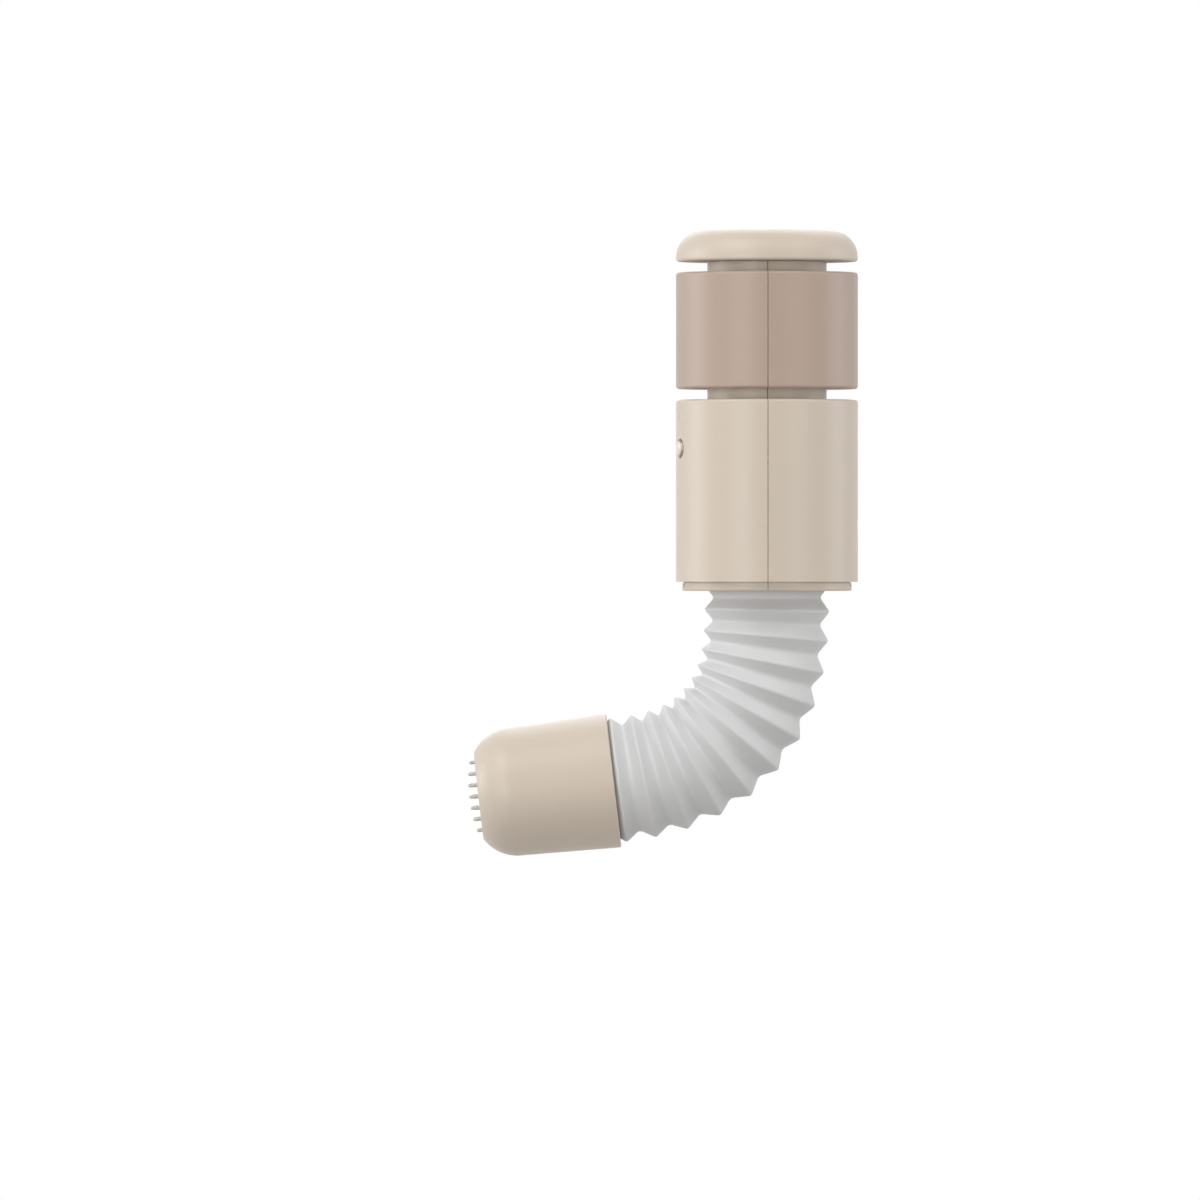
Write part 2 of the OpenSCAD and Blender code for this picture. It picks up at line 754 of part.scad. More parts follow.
module head_chassis() {
    spigot_r = lower_cuff_r - bellows_wall - fit_gap;
    color("#cfd2d4") at_head() difference() {
        union() {
            translate([0, 0, fold_pitch / 2 - link_t / 2]) cylinder(r = link_r, h = spigot_start - fold_pitch / 2 + link_t / 2 + 0.1);
            translate([0, 0, spigot_start]) cylinder(r = spigot_r, h = web_w + web_t - spigot_start);
            rotate([180, 0, 0]) intersection() {
                peg_ears();
                translate([0, 0, -far / 2]) cylinder(r = link_r, h = far);
            }
        }
        translate([0, 0, -far / 2]) cylinder(r = link_bore_r, h = far / 2 + web_w);
        translate([0, 0, web_w - 2.4]) cylinder(r = spigot_r - 1.6, h = 2.4);
        translate([0, 0, web_w - 1]) cylinder(r = 3, h = web_t + 2);
        at_head_bosses() translate([0, 0, web_w - 1]) cylinder(r = head_screw_r + 0.2, h = web_t + 2);
    }
}

module lower_cuff_clamp() {
    mid = (spigot_start + spigot_end) / 2;
    color("#a9adb1") at_head()
        ring(lower_cuff_r + fit_gap / 2 + clamp_t - 0.1, lower_cuff_r + fit_gap / 2, mid - 1, mid + 1);
}

// The cup's shoulder, whose arc stops short at the flat face
function cup_shoulder(in) =
    arc([round_r - head_round, face_w - round_start], head_round - in, 0, asin(round_start / head_round), 12);

module head_cup() {
    outer = concat(
        [[0, mouth_w]],
        arc([mouth_r - mouth_round, mouth_w + mouth_round], mouth_round, -90, 0, 5),
        cup_shoulder(0),
        [[0, face_w]]
    );
    shoulder = cup_shoulder(cup_wall);
    inner = concat(
        [[0, mouth_w - 1], [mouth_r - cup_wall, mouth_w - 1], [mouth_r - cup_wall, mouth_w]],
        shoulder,
        [[0, shoulder[len(shoulder) - 1][1]]]
    );
    color("#d3c4b5") at_head() difference() {
        turned(outer);
        difference() {
            union() {
                turned(inner);
                translate([0, 0, retainer_w]) cylinder(r = retainer_r + fit_gap, h = retainer_t);
                translate([0, 0, retainer_w]) cylinder(r = pad_flange_r + fit_gap, h = face_w - end_wall - retainer_w);
            }
            at_head_bosses() translate([0, 0, boss_w]) {
                cylinder(r = head_boss_r, h = retainer_w - boss_w - fit_gap);
                translate([0, -0.6, 0]) cube([far, 1.2, retainer_w - boss_w - fit_gap]);
            }
        }
        translate([0, 0, face_w - end_wall - 1]) cylinder(r = face_opening_d / 2, h = far);
        at_head_bosses() translate([0, 0, boss_w - 1]) cylinder(r = head_screw_r + running_gap, h = 9);
    }
}

module head_screws() {
    color("#b9bcc0") at_head() at_head_bosses() translate([0, 0, web_w]) {
        translate([0, 0, -head_screw_head[1]]) cylinder(r = head_screw_head[0], h = head_screw_head[1]);
        translate([0, 0, -0.1]) cylinder(r = head_screw_r, h = 9);
    }
}

module motor_mount() {
    tube_out = motor_r + fit_gap + mount_wall;
    color("#5d6064") at_head() difference() {
        union() {
            translate([0, 0, mount_flange_w]) cylinder(r = head_boss_ring + head_boss_r + 0.6, h = mount_flange_t);
            translate([0, 0, mount_flange_w]) cylinder(r = tube_out, h = motor_len - 1);
        }
        translate([0, 0, motor_w]) cylinder(r = motor_r + fit_gap, h = far);
        translate([0, 0, mount_flange_w - 1]) cylinder(r = 2.4, h = far);
        at_head_bosses() translate([0, 0, mount_flange_w - 1]) cylinder(r = head_screw_r + 0.2, h = mount_flange_t + 2);
    }
}

module motor_can() {
    color("#bfc3c7") at_head() difference() {
        union() {
            translate([0, 0, motor_w]) cylinder(r = motor_r, h = motor_len - 0.4);
            translate([0, 0, motor_w]) cylinder(r = 2.2, h = motor_len);
        }
        translate([0, 0, motor_end - 3]) cylinder(r = shaft_r + running_gap, h = 4);
    }
}

module motor_shaft() {
    color("#e3e5e7") at_head() translate([0, 0, motor_end - 2.8]) cylinder(r = shaft_r, h = weight_w + weight_t + 0.4 - motor_end + 2.8);
}

module eccentric_weight() {
    color("#8b8471") at_head() translate([0, 0, weight_w]) difference() {
        union() {
            intersection() {
                cylinder(r = weight_r, h = weight_t);
                translate([0, -far / 2, 0]) cube([far, far, weight_t]);
            }
            cylinder(r = 2, h = weight_t);
        }
        translate([0, 0, -1]) cylinder(r = shaft_r, h = weight_t + 2);
    }
}

module pad_retainer() {
    color("#6d7074") at_head() ring(retainer_r, pad_r - 1.5, retainer_w, retainer_w + retainer_t);
}

// Soft pad with a field of pins whose tips lie on a dome
module pin_pad() {
    color("#e4ddd4") at_head() {
        translate([0, 0, pad_flange_w]) cylinder(r = pad_flange_r, h = pad_flange_t);
        translate([0, 0, pad_flange_w]) cylinder(r = pad_r, h = face_w - pad_sink - pad_flange_w);
        for (a = [-pin_rows:pin_rows]) for (b = [-pin_rows:pin_rows])
            if (a * a + b * b <= pin_rows * pin_rows + 1) {
                reach = pin_pitch * norm([a, b]);
                translate([a * pin_pitch, b * pin_pitch, pad_flange_w + 0.1])
                    cylinder(d = pin_d, h = face_w + pin_h * sqrt(1 - pow(reach / pin_dome_r, 2)) - pad_flange_w - 0.1, $fn = 20);
            }
    }
}

// ---- nodes ----

front_shell();
rear_shell();
band(-1);  // band_front
band(1);  // band_rear
tube_clamp_ring();
shell_screw();
cap_dome();
cap_plug();
cap_seal_ring();
cap_screw();
battery_cushion();
battery_seat();
battery_carrier();
battery_cells();
battery_contacts();
circuit_board();
board_chips();
lead_socket();
tact_switch();
status_led();
light_pipe();
push_button();
switch_plunger();
body_lead();
swivel_washer();
swivel_collar();
upper_cuff_clamp();
neck_bellows();
neck_lead();
for (i = [1:links]) neck_link(i);
head_chassis();
lower_cuff_clamp();
head_cup();
head_screws();
motor_mount();
motor_can();
motor_shaft();
eccentric_weight();
pad_retainer();
pin_pad();
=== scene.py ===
# A battery-powered handheld massager with a bending neck, built around its CAD frame.
# Metres, +Z up the grip, the neck bends towards -X. Sections follow the order in which
# the real device is put together: grip, controls, batteries, cap, swivel, neck, head.
import json
import math

import bpy
from mathutils import Matrix, Vector


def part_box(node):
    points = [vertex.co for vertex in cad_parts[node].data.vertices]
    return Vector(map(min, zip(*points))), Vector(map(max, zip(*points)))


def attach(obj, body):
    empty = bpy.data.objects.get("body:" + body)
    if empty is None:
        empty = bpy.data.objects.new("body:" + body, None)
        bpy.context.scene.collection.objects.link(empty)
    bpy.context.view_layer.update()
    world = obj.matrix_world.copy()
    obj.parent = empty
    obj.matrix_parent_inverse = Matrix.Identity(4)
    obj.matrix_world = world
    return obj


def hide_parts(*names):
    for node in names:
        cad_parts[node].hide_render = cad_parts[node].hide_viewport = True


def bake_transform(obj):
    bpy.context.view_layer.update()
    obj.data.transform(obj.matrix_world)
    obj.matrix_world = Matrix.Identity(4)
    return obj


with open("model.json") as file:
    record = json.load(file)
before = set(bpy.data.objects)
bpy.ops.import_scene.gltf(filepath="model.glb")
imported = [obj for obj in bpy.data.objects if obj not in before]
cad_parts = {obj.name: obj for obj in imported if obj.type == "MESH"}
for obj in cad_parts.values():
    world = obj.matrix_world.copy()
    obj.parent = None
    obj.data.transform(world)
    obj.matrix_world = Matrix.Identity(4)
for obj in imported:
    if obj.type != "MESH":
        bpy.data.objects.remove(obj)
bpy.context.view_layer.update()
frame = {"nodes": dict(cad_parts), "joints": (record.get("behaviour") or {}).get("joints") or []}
nodes = frame["nodes"]
bpy.ops.object.select_all(action="DESELECT")


# ---- Studio -------------------------------------------------------------------------
# A long lens square to the plane that the neck bends in, and a plain pale floor well
# below the device. Soft lamps stand round it: one at each side for its edges, two low
# and two high in front, and two behind it. The air and the floor light it only a little.

view_centre = Vector((-0.0459, 0.0, -0.0565))
view_width = 0.3299
camera_distance = 4.0
sensor = 36
air_glow = 0.2
floor_size = 6
floor_height = -0.26
floor_fade = (0.3, 0.9)

bpy.ops.object.camera_add(
    location=view_centre - Vector((0, camera_distance, 0)),
    rotation=(math.radians(90), 0, 0),
)
camera = bpy.context.object
camera.data.sensor_width = sensor
camera.data.lens = sensor * camera_distance / view_width
bpy.context.scene.camera = camera
bpy.context.scene.view_settings.view_transform = "Standard"


def soft_lamp(name, place, watts, size, tint):
    bpy.ops.object.light_add(type="AREA", location=place)
    lamp = bpy.context.object
    lamp.name = name
    lamp.data.energy = watts
    lamp.data.shape = "DISK"
    lamp.data.size = size
    lamp.data.color = tint
    aim = view_centre - Vector(place)
    lamp.rotation_euler = aim.to_track_quat("-Z", "Y").to_euler()


soft_lamp("left_rim_lamp", (-2.3, 0.4, 0.3), 18, 1.2, (1.0, 1.0, 1.0))
soft_lamp("right_rim_lamp", (2.3, 0.4, 0.3), 14, 1.2, (1.0, 0.99, 0.98))
soft_lamp("left_low_lamp", (-1.2, -2.0, 0.0), 15, 0.8, (1.0, 0.99, 0.975))
soft_lamp("right_low_lamp", (1.5, -1.9, 0.0), 9, 0.8, (1.0, 0.985, 0.97))
soft_lamp("left_high_lamp", (-1.2, -1.2, 1.8), 24, 1.4, (1.0, 0.995, 0.985))
soft_lamp("right_high_lamp", (1.2, -1.2, 1.8), 14, 1.4, (1.0, 0.985, 0.97))
soft_lamp("back_high_lamp", (0.3, 1.6, 2.0), 14, 1.8, (1.0, 1.0, 1.0))
soft_lamp("back_low_lamp", (-0.2, 2.2, 0.9), 6, 1.4, (1.0, 0.995, 0.985))


def seen_or_mirrored(tree):
    """1 on rays sent out by the camera, a mirror or glass, and 0 on those that carry light."""
    ray = tree.nodes.new("ShaderNodeLightPath")
    either = tree.nodes.new("ShaderNodeMath")
    either.operation = "MAXIMUM"
    any_of_three = tree.nodes.new("ShaderNodeMath")
    any_of_three.operation = "MAXIMUM"
    tree.links.new(ray.outputs["Is Camera Ray"], either.inputs[0])
    tree.links.new(ray.outputs["Is Glossy Ray"], either.inputs[1])
    tree.links.new(either.outputs[0], any_of_three.inputs[0])
    tree.links.new(ray.outputs["Is Transmission Ray"], any_of_three.inputs[1])
    return any_of_three.outputs[0]


world = bpy.data.worlds.new("studio_air")
bpy.context.scene.world = world
world.use_nodes = True
shade = world.node_tree.nodes
links = world.node_tree.links
shade["Background"].inputs["Color"].default_value = (1, 1, 1, 1)
air_light = shade.new("ShaderNodeMapRange")
air_light.inputs["To Min"].default_value = air_glow
air_light.inputs["To Max"].default_value = 1.0
links.new(seen_or_mirrored(world.node_tree), air_light.inputs["Value"])
links.new(air_light.outputs["Result"], shade["Background"].inputs["Strength"])

bpy.ops.mesh.primitive_plane_add(size=floor_size, location=(0, 0, floor_height))
floor = bpy.context.object
floor.name = "floor"
paint = bpy.data.materials.new("pale_floor")
paint.use_nodes = True
floor.data.materials.append(paint)
shade = paint.node_tree.nodes
links = paint.node_tree.links
dim = shade["Principled BSDF"]
dim.inputs["Base Color"].default_value = (0.42, 0.41, 0.40, 1)
dim.inputs["Roughness"].default_value = 0.9
pale = shade.new("ShaderNodeBsdfDiffuse")
pale.inputs["Color"].default_value = (0.9, 0.9, 0.9, 1)
lift = shade.new("ShaderNodeEmission")
lift.inputs["Strength"].default_value = 0.2
shadowed = shade.new("ShaderNodeAddShader")
white = shade.new("ShaderNodeEmission")
place = shade.new("ShaderNodeTexCoord")
away = shade.new("ShaderNodeVectorMath")
away.operation = "LENGTH"
fade = shade.new("ShaderNodeMapRange")
fade.interpolation_type = "SMOOTHSTEP"
fade.inputs["From Min"].default_value = floor_fade[0]
fade.inputs["From Max"].default_value = floor_fade[1]
near_or_far = shade.new("ShaderNodeMixShader")
shown = shade.new("ShaderNodeMixShader")
links.new(pale.outputs["BSDF"], shadowed.inputs[0])
links.new(lift.outputs["Emission"], shadowed.inputs[1])
links.new(place.outputs["Object"], away.inputs[0])
links.new(away.outputs["Value"], fade.inputs["Value"])
links.new(fade.outputs["Result"], near_or_far.inputs["Fac"])
links.new(shadowed.outputs["Shader"], near_or_far.inputs[1])
links.new(white.outputs["Emission"], near_or_far.inputs[2])
links.new(seen_or_mirrored(paint.node_tree), shown.inputs["Fac"])
links.new(dim.outputs["BSDF"], shown.inputs[1])
links.new(near_or_far.outputs["Shader"], shown.inputs[2])
links.new(shown.outputs["Shader"], shade["Material Output"].inputs["Surface"])


# ---- Grip shells --------------------------------------------------------------------
# Two half shells of warm beige ABS, injection moulded, held together by a clamp ring
# under the band and one screw. The mould gives them a fine satin spark texture.

gloss_swing = 0.12
relief_strength = 0.35
sheen_rough = 0.35


def finish(name, colour, rough, grain, depth, shift=0.02, patch=30, metal=0.0, sheen=0.0):
    """A moulded or metal finish: a broad shift of tone, and a fine grain in height and gloss."""
    made = bpy.data.materials.new(name)
    made.use_nodes = True
    shade = made.node_tree.nodes
    links = made.node_tree.links
    skin = shade["Principled BSDF"]
    skin.inputs["Metallic"].default_value = metal
    skin.inputs["Sheen Weight"].default_value = sheen
    skin.inputs["Sheen Roughness"].default_value = sheen_rough
    place = shade.new("ShaderNodeTexCoord")
    broad = shade.new("ShaderNodeTexNoise")
    broad.inputs["Scale"].default_value = patch
    broad.inputs["Detail"].default_value = 3
    tone = shade.new("ShaderNodeMix")
    tone.data_type = "RGBA"
    tone.inputs["A"].default_value = (*[c * (1 - shift) for c in colour], 1)
    tone.inputs["B"].default_value = (*[min(1, c * (1 + shift)) for c in colour], 1)
    fine = shade.new("ShaderNodeTexNoise")
    fine.inputs["Scale"].default_value = grain
    fine.inputs["Detail"].default_value = 2
    gloss = shade.new("ShaderNodeMapRange")
    gloss.inputs["To Min"].default_value = rough * (1 - gloss_swing)
    gloss.inputs["To Max"].default_value = rough * (1 + gloss_swing)
    relief = shade.new("ShaderNodeBump")
    relief.inputs["Strength"].default_value = relief_strength
    relief.inputs["Distance"].default_value = depth
    links.new(place.outputs["Object"], broad.inputs["Vector"])
    links.new(place.outputs["Object"], fine.inputs["Vector"])
    links.new(broad.outputs["Fac"], tone.inputs["Factor"])
    links.new(tone.outputs["Result"], skin.inputs["Base Color"])
    links.new(fine.outputs["Fac"], gloss.inputs["Value"])
    links.new(gloss.outputs["Result"], skin.inputs["Roughness"])
    links.new(fine.outputs["Fac"], relief.inputs["Height"])
    links.new(relief.outputs["Normal"], skin.inputs["Normal"])
    return made


def dress(material, *names):
    """Gives CAD nodes a finish."""
    for name in names:
        nodes[name].data.materials.clear()
        nodes[name].data.materials.append(material)


beige = finish("beige_abs", (0.622, 0.540, 0.452), 0.42, 2600, 0.00006, sheen=0.08)
dress(beige, "front_shell", "rear_shell")


# ---- Grip band ----------------------------------------------------------------------
# Two half rings in taupe with a soft-touch coat, clipped round the neck tube on the
# same parting line as the shells.

taupe = finish("taupe_soft_touch", (0.440, 0.338, 0.275), 0.45, 3200, 0.00005, sheen=0.22)
dress(taupe, "band_front", "band_rear")


# ---- Fasteners of the grip ----------------------------------------------------------
# A split ring of spring steel pulls the shells' tops together under the band, and a
# zinc-plated screw joins them lower down. Both are bought-in parts.

spring_steel = finish("spring_steel", (0.58, 0.58, 0.60), 0.3, 1800, 0.00002, metal=1.0)
zinc = finish(
    "zinc_plate", (0.62, 0.63, 0.66), 0.34, 2400, 0.00003, shift=0.06, patch=400, metal=1.0
)
dress(spring_steel, "tube_clamp_ring")
dress(zinc, "shell_screw")


# ---- Push button --------------------------------------------------------------------
# A glossy pale cap with a low crown, pressed into a narrow metal collar that stands a
# little proud of its hole in the front shell. A flange behind the wall keeps it in. The
# collar is real; its dark colour is painted shade for the shadowed gap round the cap.

button_turn = math.radians(197)
flange_radius = 0.0034
flange_back = 0.0215
flange_front = 0.02244
collar_radius = 0.0025
collar_foot = 0.0248
collar_lip = ((0.00022, 0.00003), (0.00038, 0.00012), (0.00044, 0.00025))
collar_inner_rise = 0.0004
crown_radius = 0.00195
crown_foot = 0.02525
crown_rise = 0.0007
crown_steps = 9
gap_mouth = 0.00014
gap_width = 0.0001
gap_depth = 0.0001
gap_corner = 0.00001
button_sides = 64
low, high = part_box("push_button")
button_height = (low.z + high.z) / 2


def skin_of_rings(name, sides, rings, closed=False):
    """A round skin: a circle whose ring is extruded and scaled along a list of (height, radius)."""
    bpy.ops.object.select_all(action="DESELECT")
    bpy.ops.mesh.primitive_circle_add(vertices=sides, radius=rings[0][1])
    skin = bpy.context.object
    skin.name = name
    bpy.ops.object.mode_set(mode="EDIT")
    bpy.ops.mesh.select_mode(type="EDGE")
    bpy.ops.mesh.select_all(action="SELECT")
    bpy.ops.transform.translate(value=(0, 0, rings[0][0]))
    for (z_before, r_before), (z_now, r_now) in zip(rings, rings[1:]):
        bpy.ops.mesh.extrude_region_move(TRANSFORM_OT_translate={"value": (0, 0, z_now - z_before)})
        bpy.ops.transform.resize(value=(r_now / r_before, r_now / r_before, 1))
    if closed:
        bpy.ops.mesh.select_all(action="DESELECT")
        bpy.ops.mesh.select_non_manifold()
        bpy.ops.mesh.edge_face_add()
    bpy.ops.mesh.select_all(action="SELECT")
    bpy.ops.mesh.normals_make_consistent(inside=False)
    bpy.ops.object.mode_set(mode="OBJECT")
    return skin


crown = [
    (crown_foot + crown_rise * math.sin(rise), crown_radius * math.cos(rise))
    for rise in (math.radians(90) * k / crown_steps for k in range(crown_steps))
]
collar = [
    (flange_back, flange_radius),
    (flange_front, flange_radius),
    (flange_front, collar_radius),
    (collar_foot, collar_radius),
]
collar += [(collar_foot + rise, collar_radius - inset) for rise, inset in collar_lip]
collar += [
    (collar_foot + collar_inner_rise, crown_radius + gap_mouth),
    (crown_foot - gap_depth, crown_radius + gap_width),
    (crown_foot - gap_depth, crown_radius + gap_corner),
]
button = skin_of_rings("button_crown", button_sides, collar + crown, closed=True)
gloss_cap = finish(
    "button_gloss", (0.80, 0.70, 0.61), 0.16, 900, 0.00002, shift=0.01, patch=200
)
# The collar's dark colour is painted shade: it stands in for the shadow in the gap round the cap.
collar_metal_painted_shade = finish("collar_bronze_painted_shade", (0.30, 0.255, 0.225), 0.32, 1500, 0.00002, metal=1.0)
button.data.materials.append(gloss_cap)
button.data.materials.append(collar_metal_painted_shade)
# Faces outside the crown get the collar's dark colour, the painted shade of the gap round the cap.
for face in button.data.polygons:
    if math.hypot(face.center.x, face.center.y) > crown_radius:
        face.material_index = 1
bpy.ops.object.shade_smooth_by_angle(angle=math.radians(35))
button.data.transform(
    Matrix.Translation((0, 0, button_height))
    @ Matrix.Rotation(button_turn, 4, "Z")
    @ Matrix.Rotation(math.radians(90), 4, "Y")
)
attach(button, "button")
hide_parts("push_button")
dress(gloss_cap, "switch_plunger")


# ---- Status light -------------------------------------------------------------------
# A short frosted light guide, pressed into the front shell so that it is all but flush,
# over a small side-view diode on the board.

frosted = finish("frosted_guide", (0.66, 0.585, 0.50), 0.25, 1500, 0.00002)
skin = frosted.node_tree.nodes["Principled BSDF"]
skin.inputs["Subsurface Weight"].default_value = 0.2
skin.inputs["Subsurface Scale"].default_value = 0.001
dress(frosted, "light_pipe", "status_led")


# ---- Circuit board ------------------------------------------------------------------
# Glass-epoxy laminate with green solder mask over copper tracks, slid into two rails
# in the front shell, with black chips, a tact switch and a nylon socket on it.

mask_green = finish(
    "solder_mask", (0.030, 0.150, 0.075), 0.28, 1400, 0.00002, shift=0.08, patch=300
)
shade = mask_green.node_tree.nodes
links = mask_green.node_tree.links
tracks = shade.new("ShaderNodeTexBrick")
tracks.inputs["Scale"].default_value = 420
tracks.inputs["Mortar Size"].default_value = 0.035
tracks.inputs["Brick Width"].default_value = 1.4
tracks.inputs["Row Height"].default_value = 0.6
tracks.inputs["Color1"].default_value = (0.028, 0.140, 0.070, 1)
tracks.inputs["Color2"].default_value = (0.034, 0.165, 0.085, 1)
tracks.inputs["Mortar"].default_value = (0.075, 0.270, 0.120, 1)
place = shade.new("ShaderNodeTexCoord")
upright = shade.new("ShaderNodeMapping")
upright.inputs["Rotation"].default_value = (math.radians(90), 0, 0)
links.new(place.outputs["Object"], upright.inputs["Vector"])
links.new(upright.outputs["Vector"], tracks.inputs["Vector"])
links.new(tracks.outputs["Color"], shade["Principled BSDF"].inputs["Base Color"])
chip_black = finish("chip_black", (0.018, 0.018, 0.020), 0.5, 2600, 0.00003)
nylon = finish("natural_nylon", (0.74, 0.71, 0.62), 0.5, 1500, 0.00003)
dress(mask_green, "circuit_board")
dress(chip_black, "board_chips", "tact_switch")
dress(nylon, "lead_socket")


# ---- Batteries ----------------------------------------------------------------------
# Three dry cells in plain shrink jackets, dark with a copper shoulder, in a black
# moulded carrier with plated coil springs, standing on a grey seat plate.

bare_steel = (0.62, 0.62, 0.64, 1)
dark_film = (0.035, 0.065, 0.055, 1)
copper_film = (0.60, 0.32, 0.16, 1)
film_from = 0.02
copper_from = 0.74
film_to = 0.955
low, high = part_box("battery_cells")
jacket = finish("cell_jacket", (0.05, 0.08, 0.065), 0.22, 900, 0.00001)
shade = jacket.node_tree.nodes
links = jacket.node_tree.links
place = shade.new("ShaderNodeTexCoord")
split = shade.new("ShaderNodeSeparateXYZ")
along = shade.new("ShaderNodeMapRange")
along.inputs["From Min"].default_value = low.z
along.inputs["From Max"].default_value = high.z
bands = shade.new("ShaderNodeValToRGB")
bands.color_ramp.interpolation = "CONSTANT"
bands.color_ramp.elements[0].color = bare_steel
bands.color_ramp.elements[1].color = bare_steel
bands.color_ramp.elements[1].position = film_to
bands.color_ramp.elements.new(film_from).color = dark_film
bands.color_ramp.elements.new(copper_from).color = copper_film
links.new(place.outputs["Object"], split.inputs["Vector"])
links.new(split.outputs["Z"], along.inputs["Value"])
links.new(along.outputs["Result"], bands.inputs["Fac"])
links.new(bands.outputs["Color"], shade["Principled BSDF"].inputs["Base Color"])
inner_black = finish("inner_black", (0.030, 0.030, 0.033), 0.5, 2000, 0.00004)
seat_grey = finish("seat_grey", (0.15, 0.16, 0.17), 0.5, 2000, 0.00004)
dress(jacket, "battery_cells")
dress(inner_black, "battery_carrier")
dress(seat_grey, "battery_seat")
dress(spring_steel, "battery_contacts")


# ---- End cap ------------------------------------------------------------------------
# A one-piece domed cap of the same beige ABS with no parting line, screwed to a plug
# that slides into the neck tube and seals there on a black rubber ring.

black_rubber = finish("black_rubber", (0.035, 0.035, 0.037), 0.6, 1800, 0.00004)
dress(beige, "cap_dome", "cap_plug")
dress(zinc, "cap_screw")
dress(black_rubber, "cap_seal_ring", "battery_cushion")


# ---- Swivel and neck links ----------------------------------------------------------
# A collar with a flange turns in the bottom of the grip on a slippery sheet washer.
# Ten links of grey acetal hang below it, each hooked on the one above by two pegs.

acetal = finish("grey_acetal", (0.60, 0.61, 0.62), 0.38, 1900, 0.00003)
sheet_white = finish("washer_white", (0.82, 0.82, 0.80), 0.35, 1200, 0.00002)
dress(acetal, "swivel_collar", "head_chassis")
dress(sheet_white, "swivel_washer")
dress(spring_steel, "upper_cuff_clamp", "lower_cuff_clamp")
for name in nodes:
    if name.startswith("neck_link_"):
        dress(acetal, name)


# ---- Bellows ------------------------------------------------------------------------
# One blow-moulded sleeve of white silicone rubber over the links, with eleven soft
# folds and a smooth cuff at each end. One fold is shaped straight, then copied to each
# joint and laid into its bend; the folds meet in the valleys.

joints = {joint["name"]: joint for joint in frame["joints"]}
bends = [joints[name] for name in sorted(joints) if name.startswith("neck_bend_")]
spin = joints["motor_spin"]
pivots = [Vector(joint["pos_m"]) for joint in bends]
pitch = (pivots[1] - pivots[0]).length
head_axis = Vector(spin["axis"]).normalized()
runs = [(b - a).normalized() for a, b in zip(pivots, pivots[1:])] + [head_axis]
tilts = [0.0] + [math.atan2(-run.x, -run.z) for run in runs]
valleys = [pivots[0] + Vector((0, 0, pitch / 2))]
valleys += [pivot + run * pitch / 2 for pivot, run in zip(pivots, runs)]

low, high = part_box("neck_bellows")
ridge_radius = (high.y - low.y) / 2
fold_depth = 0.0022
valley_radius = ridge_radius - fold_depth
wall = 0.0009
ridge_round = 0.14
valley_round = 0.22
ring_places = (0, 0.045, 0.09, 0.14, 0.45, 0.78, 0.85, 0.92, 1)
bellows_sides = 96


def fold_height(t):
    """Height of the fold from 1 on its ridge, t = 0, to 0 in its valley, t = 1."""
    slope = 1 / (1 - (ridge_round + valley_round) / 2)
    if t < ridge_round:
        return 1 - slope * t * t / (2 * ridge_round)
    if t > 1 - valley_round:
        return slope * (1 - t) ** 2 / (2 * valley_round)
    return 1 - slope * (t - ridge_round / 2)


def lay_in_bend(piece, i):
    """Lays a straight run of one pitch, from z = 0 down, round joint i from valley to valley."""
    for point in piece.data.vertices:
        u = -point.co.z / pitch
        tilt = tilts[i] + (tilts[i + 1] - tilts[i]) * u
        if u < 0.5:
            centre = valleys[i].lerp(pivots[i], 2 * u)
        else:
            centre = pivots[i].lerp(valleys[i + 1], 2 * u - 1)
        flat = Vector((point.co.x, point.co.y, 0))
        point.co = centre + Matrix.Rotation(tilt, 3, "Y") @ flat


def thicken(piece, thickness):
    """Gives an open skin its wall, inwards."""
    bpy.ops.object.select_all(action="DESELECT")
    piece.select_set(True)
    bpy.context.view_layer.objects.active = piece
    skin_wall = piece.modifiers.new("wall", "SOLIDIFY")
    skin_wall.thickness = thickness
    skin_wall.offset = -1
    bpy.ops.object.modifier_apply(modifier="wall")
    bpy.ops.object.shade_smooth_by_angle(angle=math.radians(50))


def copied_to_joint(straight, name, i, thickness):
    """A copy of a straight run of one pitch, laid round joint i and given its wall."""
    piece = straight.copy()
    piece.data = straight.data.copy()
    piece.name = name
    bpy.context.collection.objects.link(piece)
    lay_in_bend(piece, i)
    thicken(piece, thickness)
    return piece


silicone = finish(
    "white_silicone", (0.655, 0.662, 0.668), 0.55, 2200, 0.00004, shift=0.015, patch=60
)

fold_rings = [
    (-(1 + t) * pitch / 2, valley_radius + fold_depth * fold_height(abs(t)))
    for t in [-t for t in reversed(ring_places)] + list(ring_places[1:])
]
straight_fold = skin_of_rings("bellows_fold", bellows_sides, fold_rings)
for i in range(len(bends)):
    fold = copied_to_joint(straight_fold, f"bellows_fold_{i + 1:02d}", i, wall)
    fold.data.materials.append(silicone)
    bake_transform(fold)
    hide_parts("neck_bellows")
bpy.data.objects.remove(straight_fold)

cuff_radius = valley_radius + 0.00105
cuff_top = high.z
cuff_straight = 0.0031
cuff_shoulder = 0.0005
cuff_round = 0.0001
top_cuff = skin_of_rings(
    "bellows_top_cuff", bellows_sides,
    [
        (cuff_top, cuff_radius),
        (cuff_top - cuff_straight, cuff_radius),
        (cuff_top - cuff_straight - cuff_shoulder, cuff_radius - cuff_round),
        (valleys[0].z + cuff_shoulder, valley_radius + cuff_round),
        (valleys[0].z, valley_radius),
    ],
)
thicken(top_cuff, wall)
top_cuff.data.materials.append(silicone)
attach(top_cuff, "neck_base")
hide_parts("neck_bellows")

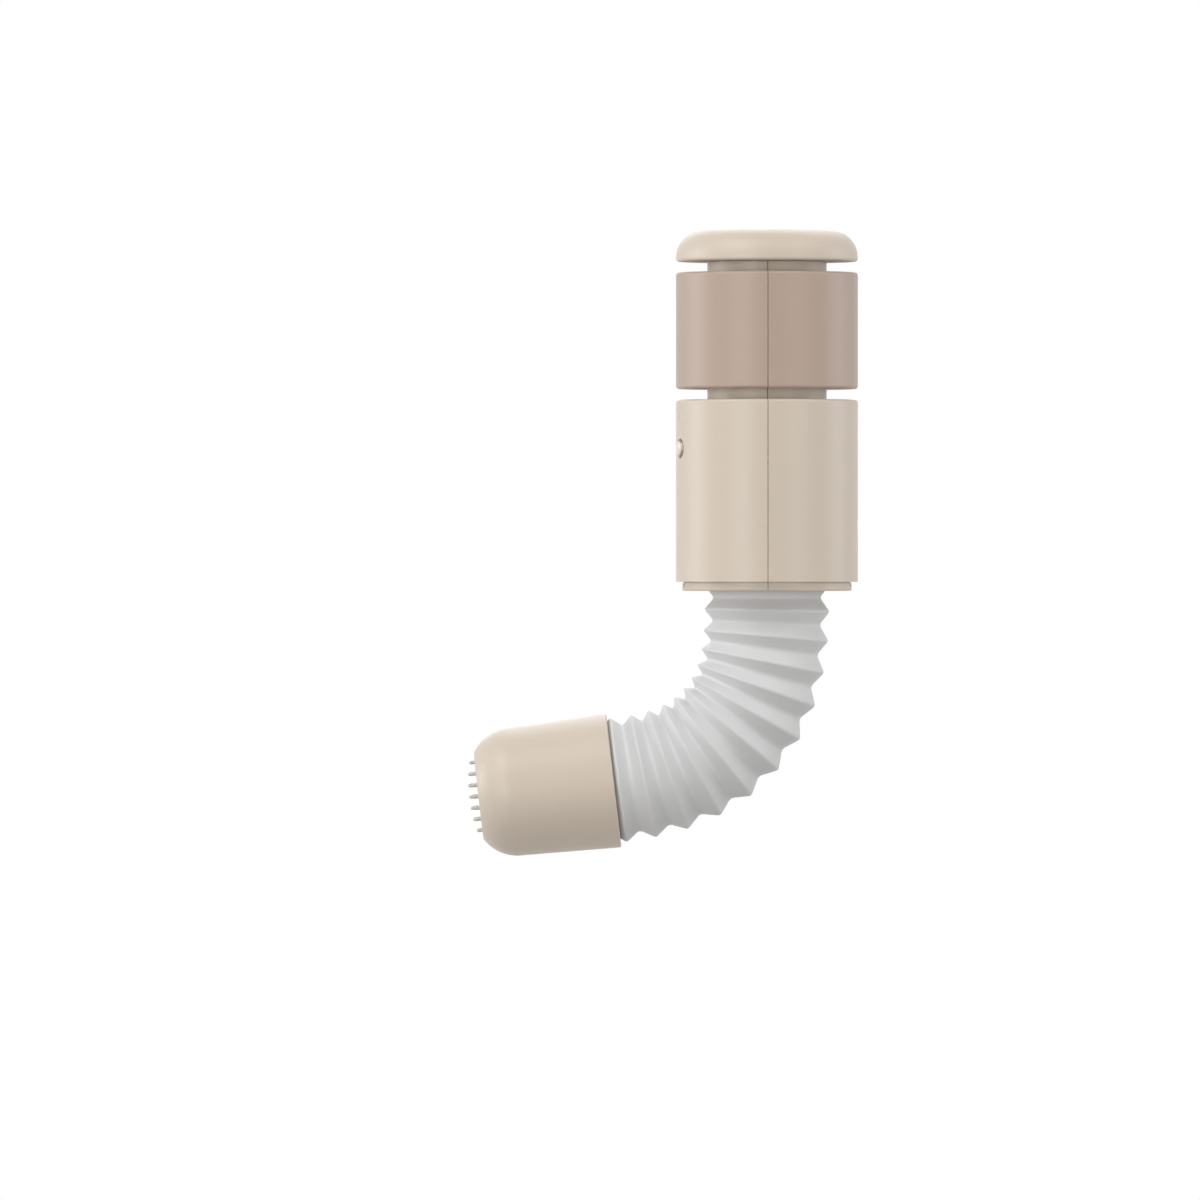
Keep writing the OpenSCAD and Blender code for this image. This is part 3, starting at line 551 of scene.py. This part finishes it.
head_frame = (
    Matrix.Translation(pivots[-1])
    @ Matrix.Rotation(tilts[-1], 4, "Y")
    @ Matrix.Rotation(math.radians(180), 4, "X")
)
head_cuff_from = 0.0049
head_cuff_to = 0.0091
head_cuff_radius = valley_radius + 0.00075
head_cuff = skin_of_rings(
    "bellows_head_cuff", bellows_sides,
    [
        (pitch / 2, valley_radius),
        (head_cuff_from, head_cuff_radius),
        (head_cuff_to, head_cuff_radius),
    ],
)
thicken(head_cuff, wall)
head_cuff.data.transform(head_frame)
head_cuff.data.materials.append(silicone)
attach(head_cuff, "head")
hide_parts("neck_bellows")


# ---- Motor lead ---------------------------------------------------------------------
# A round two-core lead in a black flexible sheath, from the board down the housing and
# then through the middle of the links to the motor.

sheath = finish("lead_sheath", (0.030, 0.030, 0.032), 0.42, 1500, 0.00003)
dress(sheath, "body_lead")
lead_radius = 0.0012
lead_wall = lead_radius * 0.6
lead_sides = 16
motor_back = 0.0127
run_steps = 5
lead_run = skin_of_rings(
    "lead_run", lead_sides, [(-pitch * k / run_steps, lead_radius) for k in range(run_steps + 1)]
)
lead_pieces = []
for i in range(len(bends)):
    piece = copied_to_joint(lead_run, f"neck_lead_run_{i + 1:02d}", i, lead_wall)
    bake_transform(piece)
    lead_pieces.append(piece)
bpy.data.objects.remove(lead_run)
low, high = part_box("neck_lead")
lead_top = skin_of_rings(
    "neck_lead_top", lead_sides, [(high.z, lead_radius), (valleys[0].z, lead_radius)]
)
thicken(lead_top, lead_wall)
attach(lead_top, "neck_base")
lead_end = skin_of_rings(
    "neck_lead_end", lead_sides, [(pitch / 2, lead_radius), (motor_back, lead_radius)]
)
thicken(lead_end, lead_wall)
lead_end.data.transform(head_frame)
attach(lead_end, "head")
for piece in lead_pieces + [lead_top, lead_end]:
    piece.data.materials.append(sheath)
    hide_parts("neck_lead")


# ---- Head ---------------------------------------------------------------------------
# A moulded cup of the same beige, screwed to the chassis through a rubber mount that
# holds a small motor. The eccentric weight on the motor's shaft makes the vibration.

weight_grey = finish(
    "sintered_weight", (0.22, 0.205, 0.165), 0.4, 2600, 0.00006, shift=0.1, patch=600, metal=1.0
)
dress(beige, "head_cup")
dress(zinc, "head_screws")
dress(black_rubber, "motor_mount")
dress(spring_steel, "motor_can", "motor_shaft")
dress(weight_grey, "eccentric_weight")
dress(seat_grey, "pad_retainer")


# ---- Pin pad ------------------------------------------------------------------------
# A soft pad of milky silicone, held behind the cup's opening by a retaining ring, with
# a square field of round-tipped pins whose tips lie on a shallow dome.

face_at = 0.0387
pad_radius = 0.0109
pad_flange_radius = 0.0129
pad_front = face_at - 0.0002
pad_back = face_at - 0.00315
pad_step = pad_back + 0.0015
pad_edge = 0.0004
pad_edge_soft = 0.0001
square_corner = 0.00001
pin_radius = 0.0005
pin_pitch = 0.00312
pin_height = 0.0027
pin_dome = 0.0117
pin_rows = 3
pin_sides = 16
pin_flare = ((0.0, 1.7), (0.00018, 1.3), (0.00042, 1.06), (0.0008, 1.0))
tip_angles = [math.radians(angle) for angle in (0, 30, 55, 75)]

pad = skin_of_rings(
    "soft_pin_pad", 96,
    [
        (pad_back, pad_flange_radius),
        (pad_step, pad_flange_radius),
        (pad_step + square_corner, pad_radius),
        (pad_front - pad_edge, pad_radius),
        (pad_front - pad_edge_soft, pad_radius - pad_edge_soft),
        (pad_front, pad_radius - pad_edge),
    ],
    closed=True,
)

foot = pad_front - pad_edge_soft
for a in range(-pin_rows, pin_rows + 1):
    for b in range(-pin_rows, pin_rows + 1):
        if a * a + b * b > pin_rows * pin_rows + 1:
            continue
        reach = pin_pitch * math.hypot(a, b)
        tip = face_at + pin_height * math.sqrt(1 - (reach / pin_dome) ** 2)
        stem = [(foot + rise, pin_radius * flare) for rise, flare in pin_flare]
        dome = [
            (tip - pin_radius + pin_radius * math.sin(angle), pin_radius * math.cos(angle))
            for angle in tip_angles
        ]
        pin = skin_of_rings("pin", pin_sides, stem + dome, closed=True)
        pin.data.transform(Matrix.Translation((a * pin_pitch, b * pin_pitch, 0)))
        pin.select_set(True)
        pad.select_set(True)
        bpy.context.view_layer.objects.active = pad
        bpy.ops.object.join()
bpy.ops.object.shade_smooth_by_angle(angle=math.radians(40))
pad.data.transform(head_frame)
milky = finish("milky_silicone", (0.57, 0.54, 0.505), 0.34, 1500, 0.00002)
pad.data.materials.append(milky)
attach(pad, "head")
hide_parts("pin_pad")
